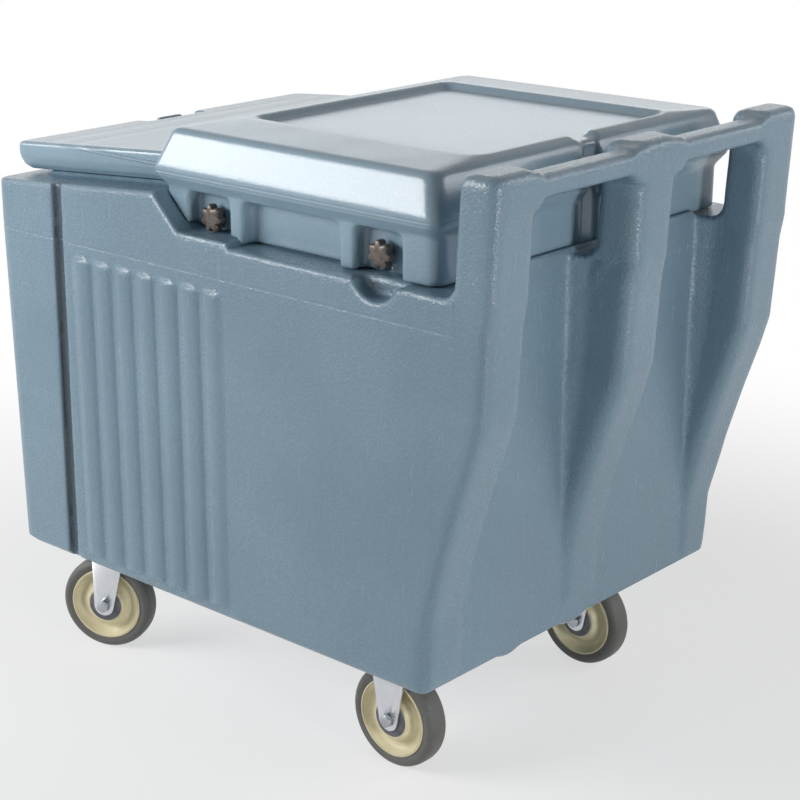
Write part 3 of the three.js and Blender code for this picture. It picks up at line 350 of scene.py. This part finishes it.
def tyreRubber(name):
    look = tyreFinish
    recipe = Recipe(name, {"IOR": 1.45})
    place = recipe.node("TexCoord", {}, {}, "Object")
    cloud = noise(recipe, place, look["cloudSize"], 4, 0.6)
    dust = noise(recipe, place, look["dustSize"], 3, 0.7)
    grain = noise(recipe, place, look["grainSize"], 2)
    colour = tinted(recipe, cloud, linear(*look["dark"]), linear(*look["pale"]))
    dusty = ramp(recipe, dust, *look["dustSpan"]) * look["dustShare"]
    colour = tinted(recipe, dusty, colour, linear(*look["dust"]))
    rough = look["gloss"] + look["dustRoughness"] * dust
    normal = bumped(recipe, grain, look["grainDepth"])
    return recipe.finish({"Base Color": colour, "Roughness": rough, "Normal": normal})


# bright zinc: a faint spangle and hair-fine scratches; densities are per metre
zincFinish = {
    "spangle": 260.0,
    "cloudSize": 0.014,
    "scratches": (90.0, 90.0, 1400.0),
    "scratchDepth": 0.00003,
    "gloss": 0.22,
    "cloudRoughness": 0.12,
    "spangleRoughness": 0.06,
}


def zincPlate(name, base, other):
    look = zincFinish
    recipe = Recipe(name, {"Metallic": 1.0})
    place = recipe.node("TexCoord", {}, {}, "Object")
    spangle = recipe.node("TexVoronoi", {}, {"Vector": place, "Scale": look["spangle"]}, "Color")
    flake = recipe.node("SeparateColor", {}, {0: spangle}, 0)
    cloud = noise(recipe, place, look["cloudSize"], 4, 0.6)
    drawn = recipe.node("Mapping", {}, {0: place, 3: look["scratches"]})
    scratch = noise(recipe, drawn, 1.0)
    colour = tinted(recipe, cloud, linear(*base), linear(*other))
    rough = look["gloss"] + look["cloudRoughness"] * cloud + look["spangleRoughness"] * flake
    normal = bumped(recipe, scratch, look["scratchDepth"])
    return recipe.finish({"Base Color": colour, "Roughness": rough, "Normal": normal})


# a plain finish takes its two colours, the size of its blots, its gloss and the depth of its grain
materials = {
    "shell_plastic": mouldedPlastic("shellPlastic", shellPlastic, bodyMarks),
    "cover_plastic": mouldedPlastic("coverPlastic", coverPlastic, coverMarks),
    "foam": plainFinish("foamFill", (214, 202, 164), (226, 216, 184), 0.01, 0.8, 0.0004),
    "shelf_plastic": plainFinish("shelfPlastic", (152, 168, 180), (166, 181, 191), 0.05, 0.36, 0.0001),
    "spigot_plastic": plainFinish("spigotPlastic", (226, 226, 220), (236, 236, 231), 0.02, 0.3, 0.00005),
    "seal": plainFinish("sealRubber", (52, 52, 54), (66, 66, 68), 0.01, 0.5, 0.0001),
    "knob_plastic": plainFinish("knobPlastic", (82, 73, 66), (108, 97, 88), 0.008, 0.22, 0.00008),
    "zinc_steel": zincPlate("zincSteel", (226, 228, 231), (204, 207, 212)),
    "fastener_steel": zincPlate("fastenerSteel", (190, 194, 198), (152, 156, 162)),
    "tyre_rubber": tyreRubber("tyreRubber"),
    "wheel_plastic": plainFinish("wheelPlastic", (221, 211, 176), (230, 221, 188), 0.02, 0.34, 0.00006),
    "hub_plastic": plainFinish("hubPlastic", (84, 86, 90), (104, 106, 110), 0.012, 0.38, 0.00008),
}
print("materials made:", len(materials))


def meshOf(name, points, faces):
    mesh = bpy.data.meshes.new(name)
    mesh.from_pydata(points.tolist(), [], faces.tolist())
    return mesh


def addPiece(name, mesh, material, body, stands):
    # a finished piece: smooth, with its material, riding on its body in place of its CAD nodes
    mesh.materials.clear()
    mesh.materials.append(materials[material])
    mesh.polygons.foreach_set("use_smooth", np.ones(len(mesh.polygons), bool))
    mesh.polygons.foreach_set("material_index", np.zeros(len(mesh.polygons), np.int32))
    piece = bpy.data.objects.new(name, mesh)
    bpy.context.scene.collection.objects.link(piece)
    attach(piece, body)
    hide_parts(*stands)


def bodyOf(node):
    return frame["nodes"][node]["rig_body"]


def welded(mesh, distance=1e-5, outward=False):
    work = bmesh.new()
    work.from_mesh(mesh)
    bmesh.ops.remove_doubles(work, verts=work.verts, dist=distance)
    if outward:
        bmesh.ops.recalc_face_normals(work, faces=work.faces)
    work.to_mesh(mesh)
    work.free()
    return mesh


def joinedCopy(name, nodes):
    # one merged mesh from copies of CAD nodes
    work = bmesh.new()
    for node in nodes:
        work.from_mesh(frame["nodes"][node].data)
    mesh = bpy.data.meshes.new(name)
    work.to_mesh(mesh)
    work.free()
    return welded(mesh)


def withModifiers(mesh, steps):
    # the mesh after a list of (modifier type, settings), applied
    holder = bpy.data.objects.new("holder", mesh)
    bpy.context.scene.collection.objects.link(holder)
    for kind, settings in steps:
        modifier = holder.modifiers.new(kind, kind)
        for key, value in settings.items():
            setattr(modifier, key, value)
    shape = holder.evaluated_get(bpy.context.evaluated_depsgraph_get())
    made = bpy.data.meshes.new_from_object(shape)
    bpy.data.objects.remove(holder)
    return made


def pointsOf(mesh):
    flat = np.empty(len(mesh.vertices) * 3, np.float32)
    mesh.vertices.foreach_get("co", flat)
    return flat.reshape(-1, 3).astype(float)


def moved(mesh, points):
    mesh.vertices.foreach_set("co", points.astype(np.float32).ravel())
    mesh.update()
    return mesh


def relaxed(mesh, share, rounds):
    # each round moves a point by its share of the way to the mean of its neighbours
    points = pointsOf(mesh)
    ends = np.empty(len(mesh.edges) * 2, np.int32)
    mesh.edges.foreach_get("vertices", ends)
    a, b = ends.reshape(-1, 2).T
    count = len(points)
    degree = np.maximum(np.bincount(a, minlength=count) + np.bincount(b, minlength=count), 1)
    weight = share(points)
    for _ in range(rounds):
        for axis in range(3):
            values = points[:, axis]
            total = np.bincount(a, values[b], count) + np.bincount(b, values[a], count)
            points[:, axis] = values + weight * (total / degree - values)
    return moved(mesh, points)


def smoothStep(value, low, high):
    # 3t^2 - 2t^3, where t runs from 0 at low to 1 at high
    t = np.clip((value - low) / (high - low), 0, 1)
    return t * t * (3 - 2 * t)


def tilted(mesh, slope):
    # turns the mesh by the slope about the Y axis, so that a sloping lid lies level with the net
    x, y, z = pointsOf(mesh).T
    level = x * math.cos(slope) + z * math.sin(slope)
    return moved(mesh, np.stack([level, y, z * math.cos(slope) - x * math.sin(slope)], 1))


# the two foot corners at the handle end, which are rounder than the CAD form's; the rounding is full below
# the first height of the fade and gone above the second
footCorner = {
    "radius": 0.024,
    "sideY": 0.2915,
    "outerY": 0.24,
    "handleX": 0.2,
    "fade": (0.21, 0.31),
    "levelsPerMetre": 100,
}


def roundedFoot(mesh):
    # the handle end's reach is measured level by level; in plan, the distance from a corner's centre is drawn
    # in so that its square outline becomes a quarter circle
    points = pointsOf(mesh)
    x, y, z = points.T
    radius, side = footCorner["radius"], footCorner["sideY"]
    outer = np.abs(y) > footCorner["outerY"]
    height = z * footCorner["levelsPerMetre"]
    level = np.maximum(height.astype(int), 0)
    reach = np.full(level.max() + 1, x.min())
    np.maximum.at(reach, level[outer], x[outer])
    known = np.flatnonzero(reach > footCorner["handleX"])
    edge = np.interp(height, known + 0.5, reach[known])
    dx = x - (edge - radius)
    dy = np.abs(y) - (side - radius)
    far = np.maximum(np.hypot(dx, dy), 1e-6)
    square = radius * far / np.maximum(np.maximum(dx, dy), 1e-6)
    amount = smoothStep(far / square, 0.5, 1.0) * (1 - smoothStep(z, *footCorner["fade"]))
    scale = 1 - (1 - radius / square) * amount
    corner = (dx > 0) & (dy > 0)
    points[:, 0] = np.where(corner, edge - radius + dx * scale, x)
    points[:, 1] = np.where(corner, np.sign(y) * (side - radius + dy * scale), y)
    return moved(mesh, points)


# how far each round of relaxing draws a point: less on the side panels, whose ribs and groove stay crisp
edgeShare = 0.5
sidePanel = {"share": 0.1, "sideY": (0.268, 0.276), "endX": (-0.020, 0.0), "topZ": (0.600, 0.610)}


def evenShare(points):
    return np.full(len(points), edgeShare)


def bodyShare(points):
    x, y, z = points.T
    beside = smoothStep(np.abs(y), *sidePanel["sideY"]) * smoothStep(-x, *sidePanel["endX"])
    return edgeShare + (sidePanel["share"] - edgeShare) * beside * (1 - smoothStep(z, *sidePanel["topZ"]))


# moulded skins: a CAD form filled to a solid, laid over with an even net and relaxed until its edges are as
# soft as a rotational moulding's; each stands in for the first of its nodes
lidWay = joints["lid_slide"]["axis"]
mostTriangles = 190000
mouldedSkins = {
    "bodySkin": {
        "nodes": ["body_shell", "fill_plug"],
        "material": "shell_plastic",
        "net": 0.0028,
        "quickNet": 0.006,
        "rounds": 4,
        "share": bodyShare,
        "shaping": roundedFoot,
        "slope": 0.0,
    },
    "coverSkin": {
        "nodes": ["raised_cover"],
        "material": "cover_plastic",
        "net": 0.0031,
        "quickNet": 0.005,
        "rounds": 3,
        "share": evenShare,
        "shaping": None,
        "slope": 0.0,
    },
    "lidSkin": {
        "nodes": ["sliding_lid", "lid_insulation"],
        "material": "cover_plastic",
        "net": 0.0028,
        "quickNet": 0.005,
        "rounds": 3,
        "share": evenShare,
        "shaping": None,
        "slope": math.atan2(lidWay[2], lidWay[0]),
    },
}


def mouldedSkin(name, skin):
    mesh = tilted(joinedCopy(name, skin["nodes"]), skin["slope"])
    net = skin["net"]
    mesh = withModifiers(mesh, [("REMESH", {"mode": "VOXEL", "voxel_size": net, "adaptivity": 0.0})])
    if skin["shaping"]:
        mesh = skin["shaping"](mesh)
    rounds = skin["rounds"] * (skin["net"] / net) ** 2
    mesh = relaxed(mesh, skin["share"], max(1, round(rounds)))
    triangles = len(mesh.polygons) * 2
    if triangles > mostTriangles:
        thinning = {"ratio": mostTriangles / triangles}
        mesh = withModifiers(mesh, [("DECIMATE", thinning), ("WEIGHTED_NORMAL", {"keep_sharp": False})])
    print(name, "triangles before thinning:", triangles)
    stand = skin["nodes"][0]
    addPiece(name, tilted(mesh, -skin["slope"]), skin["material"], bodyOf(stand), [stand])


for name, skin in mouldedSkins.items():
    mouldedSkin(name, skin)
print("moulded skins made")


def gridFaces(rows, columns, closeRows):
    # quads over a grid of points that is closed along its columns; the points are numbered row by row
    i = np.arange(rows if closeRows else rows - 1)[:, None]
    j = np.arange(columns)[None, :]
    down, across = (i + 1) % rows, (j + 1) % columns
    corners = [i * columns + j, i * columns + across, down * columns + across, down * columns + j]
    return np.stack(np.broadcast_arrays(*corners), axis=-1).reshape(-1, 4)


def axisFrame(direction):
    # two directions square to an axis, the first as near to upright as it can be
    along = np.array(direction, float) / np.linalg.norm(direction)
    across = np.cross(along, (0, 0, 1))
    across /= np.linalg.norm(across)
    return along, np.cross(across, along), across


def turnedShape(profile, sides, centre, direction):
    # every profile point (radius, height) goes round the axis: centre + height * along + radius * (cos, sin)
    along, upward, across = axisFrame(direction)
    angle = np.linspace(0, 2 * math.pi, sides, endpoint=False)
    spoke = np.cos(angle)[:, None] * upward + np.sin(angle)[:, None] * across
    radius, height = np.array(profile, float).T
    points = np.array(centre) + height[:, None, None] * along + radius[:, None, None] * spoke
    faces = gridFaces(len(radius), sides, True)
    mesh = meshOf("turned", points.reshape(-1, 3), faces)
    return welded(mesh, 1e-6, True)


def filleted(corners, steps):
    # corners are (radius, height, trim): each is rounded by a quadratic curve over its trim
    corners = np.array(corners, float)
    here = corners[:, :2]
    before, after = np.roll(here, 1, axis=0), np.roll(here, -1, axis=0)
    trim = corners[:, 2:3]
    start = here + (before - here) / np.linalg.norm(before - here, axis=1)[:, None] * trim
    end = here + (after - here) / np.linalg.norm(after - here, axis=1)[:, None] * trim
    t = np.linspace(0, 1, steps)[None, :, None]
    curve = start[:, None] * (1 - t) ** 2 + 2 * here[:, None] * t * (1 - t) + end[:, None] * t**2
    return curve.reshape(-1, 2)


# wheels: grey tyre, beige centre with a thin raised rim and a hub with grey thread guards, in millimetres;
# the sections below are half of a profile, as (radius, height, trim)
wheelShape = {
    "radius": 63.5,
    "half": 16.0,
    "rim": 49.0,
    "rimHalf": 15.0,
    "web": 5.5,
    "sides": 96,
    "guardSides": 48,
}
places = ["front_left", "rear_left", "front_right", "rear_right"]


def mirroredProfile(half):
    # half of a section, and its mirror image about height 0
    half = np.array(half, float)
    return np.vstack([half, (half * (1, -1, 1))[::-1]])


def tyreProfile(shape):
    outer, half, rim = shape["radius"], shape["half"], shape["rim"] + 0.3
    section = [
        (rim, half - 2.0, 0.6),
        (outer - 7, half, 3),
        (outer - 1.6, half - 3.6, 2.6),
        (outer, half - 9, 3),
    ]
    return filleted(mirroredProfile(section), 6) / 1000


def centreProfile(shape):
    rim, rimHalf, web = shape["rim"], shape["rimHalf"], shape["web"]
    section = [
        (9.3, 16.5, 0.3),
        (26, 16.5, 1.5),
        (29, 9.5, 3.0),
        (34, web + 1.2, 2.0),
        (35.5, web, 1.2),
        (41, web, 3.0),
        (46.2, rimHalf - 1.5, 2.5),
        (46.8, rimHalf + 0.4, 0.5),
        (rim, rimHalf + 0.4, 0.5),
    ]
    return filleted(mirroredProfile(section)[::-1], 5) / 1000


def guardProfile():
    section = [(5.3, 18.4, 0.3), (22, 18.4, 1.0), (23, 16.8, 0.3), (9, 16.8, 0.2)]
    return filleted(mirroredProfile(section)[::-1], 4) / 1000


for place in places:
    joint = joints[place + "_wheel_roll"]
    body = joint["child"]
    centre, axis = joint["pos_m"], joint["axis"]
    sides = wheelShape["sides"]
    tyre = turnedShape(tyreProfile(wheelShape), sides, centre, axis)
    addPiece(place + "_tyreRing", tyre, "tyre_rubber", body, [place + "_tyre"])
    middle = turnedShape(centreProfile(wheelShape), sides, centre, axis)
    addPiece(place + "_wheelDish", middle, "wheel_plastic", body, [place + "_wheel_centre"])
    guard = turnedShape(guardProfile(), wheelShape["guardSides"], centre, axis)
    sleeve = place + "_bearing_sleeve"
    addPiece(place + "_threadGuard", guard, "hub_plastic", bodyOf(sleeve), [sleeve])
print("wheels made")


# star knobs: seven round lobes with a domed face and a boss behind, in millimetres; the profile runs from the
# stud's hole over the boss and the rim to the middle of the face, as (radius, height, share of the lobes)
knobShape = {
    "radius": 14.4,
    "lobe": 2.0,
    "lobes": 7,
    "steepness": 1.4,
    "fullness": 0.25,
    "turn": 0.12,
    "sides": 168,
    "profile": [
        (0.1, 9.0, 0), (3.3, 9.0, 0), (3.3, 0.2, 0), (7.6, 0.2, 0), (8.0, 0.8, 0), (8.0, 3.6, 0),
        (11.5, 4.0, 0.6), (13.6, 4.2, 1), (14.2, 4.9, 1), (14.4, 6.0, 1), (14.4, 11.4, 1), (14.1, 13.0, 1),
        (13.4, 14.1, 1), (12.3, 14.8, 0.9), (10.5, 15.2, 0.6), (8.0, 15.6, 0.3), (5.0, 15.9, 0.1),
        (2.0, 16.0, 0), (0.05, 16.0, 0),
    ],
}  # fmt: skip


def starKnob(joint, shape):
    # radius = profile radius * (1 + lobe / rim radius * share * wave), where wave is tanh of the cosine of
    # (lobes * angle), which makes the lobes full and the dips between them narrow
    profileRadius, height, share = np.array(shape["profile"]).T
    along, upward, across = axisFrame(joint["axis"])
    out = along * np.sign(along[1] * joint["pos_m"][1])
    angle = np.linspace(0, 2 * math.pi, shape["sides"], endpoint=False)
    steepness, fullness = shape["steepness"], shape["fullness"]
    wave = np.tanh(steepness * np.cos(shape["lobes"] * (angle - shape["turn"])) + fullness)
    wave = wave / np.tanh(steepness + fullness)
    lobed = 1 + shape["lobe"] / shape["radius"] * share[:, None] * wave
    spoke = np.cos(angle)[:, None] * upward + np.sin(angle)[:, None] * across
    return profileRadius[:, None] * lobed / 1000, spoke, out, height / 1000


def addKnob(place):
    joint = joints[place + "_knob_turn"]
    radius, spoke, out, height = starKnob(joint, knobShape)
    node = place + "_knob"
    low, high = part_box(node)
    inner = min(abs(low[1]), abs(high[1]))
    base = np.array([joint["pos_m"][0], math.copysign(inner, low[1]), joint["pos_m"][2]])
    points = base + height[:, None, None] * out + radius[:, :, None] * spoke
    rows, sides = radius.shape
    mesh = meshOf(node, points.reshape(-1, 3), gridFaces(rows, sides, False))
    work = bmesh.new()
    work.from_mesh(mesh)
    bmesh.ops.holes_fill(work, edges=work.edges)
    bmesh.ops.recalc_face_normals(work, faces=work.faces)
    work.to_mesh(mesh)
    work.free()
    addPiece(place + "_starKnob", mesh, "knob_plastic", joint["child"], [node])


for place in places:
    addKnob(place)
print("knobs made")


# metal, drain and shelf: the CAD forms with their edges broken by the given width in metres
softenedNodes = [
    ("_fork", "zinc_steel", 0.0007),
    ("_caster_plate", "zinc_steel", 0.0006),
    ("_swivel_race", "zinc_steel", 0.0009),
    ("_kingpin", "fastener_steel", 0.0005),
    ("_axle_bolt", "fastener_steel", 0.0005),
    ("_axle_nut", "fastener_steel", 0.0005),
    ("_knob_stud", "fastener_steel", 0.0003),
    ("drain_shelf", "shelf_plastic", 0.0008),
    ("drain_tube", "spigot_plastic", 0.0006),
    ("drain_washer", "seal", 0.0004),
    ("drain_lock_nut", "spigot_plastic", 0.0006),
    ("drain_valve", "spigot_plastic", 0.0008),
    ("drain_lever", "seal", 0.0008),
    ("fill_plug", "shell_plastic", 0.0006),
]


def softenedNode(node, material, width):
    flat, sharp = math.radians(2), math.radians(38)
    steps = [
        ("DECIMATE", {"decimate_type": "DISSOLVE", "angle_limit": flat}),
        ("BEVEL", {"width": width, "segments": 3, "limit_method": "ANGLE", "angle_limit": sharp}),
        ("WEIGHTED_NORMAL", {"keep_sharp": False}),
    ]
    mesh = withModifiers(joinedCopy(node + "_form", [node]), steps)
    addPiece(node + "_form", mesh, material, bodyOf(node), [node])


for ending, material, width in softenedNodes:
    for node in sorted(name for name in frame["nodes"] if name.endswith(ending)):
        softenedNode(node, material, width)
for node in ["body_insulation", "lid_insulation"]:
    for slot in frame["nodes"][node].material_slots:
        slot.material = materials["foam"]
print("small parts finished")


# studio: a white floor that shows as plain white away from the bin and keeps its shadow near it, a surround
# that looks white but lights the bin only faintly, and large soft lamps
studio = {
    "floorSize": 14.0,
    "floorShade": 0.92,
    "floorGlow": 0.6,
    "glowSpan": (0.55, 1.6),
    "worldStrength": 0.06,
    "lamps": [
        # name, place, aim, size, watts, colour
        ("key", (-1.6, -2.0, 1.35), (0.0, -0.28, 0.7), (1.8, 0.7), 56, (1.0, 1.0, 1.0)),
        ("behind", (-2.0, 2.2, 1.45), (0.0, 0.0, 0.7), (2.6, 0.67), 6.6, (0.85, 0.94, 1.0)),
        ("strip", (2.9, -0.65, 0.55), (0.3, 0.0, 0.45), (0.5, 1.0), 28, (1.0, 1.0, 1.0)),
        ("backRight", (2.2, 1.8, 1.6), (0.3, 0.1, 0.5), (1.4, 1.0), 20, (1.0, 1.0, 1.0)),
    ],
}
# the rays that see the floor and the surround as white
seenRays = ("Is Camera Ray", "Is Glossy Ray", "Is Transmission Ray")


def addFloor(size):
    # the floor glows white to the rays that see it, fully past the glow's span and partly beneath the bin
    half = size / 2
    points = np.array([(-half, -half, 0), (half, -half, 0), (half, half, 0), (-half, half, 0)], float)
    mesh = meshOf("floor", points, np.array([[0, 1, 2, 3]]))
    shade = studio["floorShade"]
    recipe = Recipe("floorPaper", {"Base Color": (shade, shade, shade, 1), "Roughness": 0.9})
    rays = [recipe.node("LightPath", {}, {}, ray) for ray in seenRays]
    glow = recipe.node("Emission", {}, {"Color": (1, 1, 1, 1), "Strength": 1.0})
    place = recipe.node("TexCoord", {}, {}, "Object")
    away = recipe.node("VectorMath", {"operation": "LENGTH"}, {0: place}, "Value")
    glowing = studio["floorGlow"] + (1 - studio["floorGlow"]) * ramp(recipe, away, *studio["glowSpan"])
    seen = (rays[0] + rays[1] + rays[2]) * glowing
    mixed = recipe.node("MixShader", {}, {0: seen, 1: Wire(recipe, recipe.shader.outputs[0]), 2: glow})
    output = recipe.tree.nodes["Material Output"]
    recipe.feed(output, "Surface", mixed)
    mesh.materials.append(recipe.material)
    floor = bpy.data.objects.new("floor", mesh)
    bpy.context.scene.collection.objects.link(floor)


def addWorld(strength):
    # the surround is white to the rays that see it, and has the given strength as a light
    world = bpy.data.worlds.new("surround")
    world.use_nodes = True
    bpy.context.scene.world = world
    tree = world.node_tree
    background = tree.nodes["Background"]
    background.inputs["Color"].default_value = (1, 1, 1, 1)
    path = tree.nodes.new("ShaderNodeLightPath")
    total = path.outputs[seenRays[0]]
    for ray in seenRays[1:]:
        adder = tree.nodes.new("ShaderNodeMath")
        adder.operation = "ADD"
        tree.links.new(total, adder.inputs[0])
        tree.links.new(path.outputs[ray], adder.inputs[1])
        total = adder.outputs[0]
    level = tree.nodes.new("ShaderNodeMapRange")
    level.inputs["To Min"].default_value = strength
    level.inputs["To Max"].default_value = 1.0
    tree.links.new(total, level.inputs["Value"])
    tree.links.new(level.outputs[0], background.inputs["Strength"])


def addLamp(name, place, aim, size, watts, colour):
    # the lamp is turned so that it shines from its place towards its aim
    data = bpy.data.lights.new(name, "AREA")
    data.shape = "RECTANGLE"
    data.size, data.size_y = size
    data.energy = watts
    data.color = colour
    lamp = bpy.data.objects.new(name, data)
    lamp.location = place
    x, y, z = np.subtract(aim, place)
    lamp.rotation_euler = (math.atan2(math.hypot(x, y), -z), 0, math.atan2(-x, y))
    lamp.visible_camera = False
    bpy.context.scene.collection.objects.link(lamp)


addFloor(studio["floorSize"])
addWorld(studio["worldStrength"])
for lamp in studio["lamps"]:
    addLamp(*lamp)
bpy.context.scene.view_settings.view_transform = "Standard"
print("studio lit")
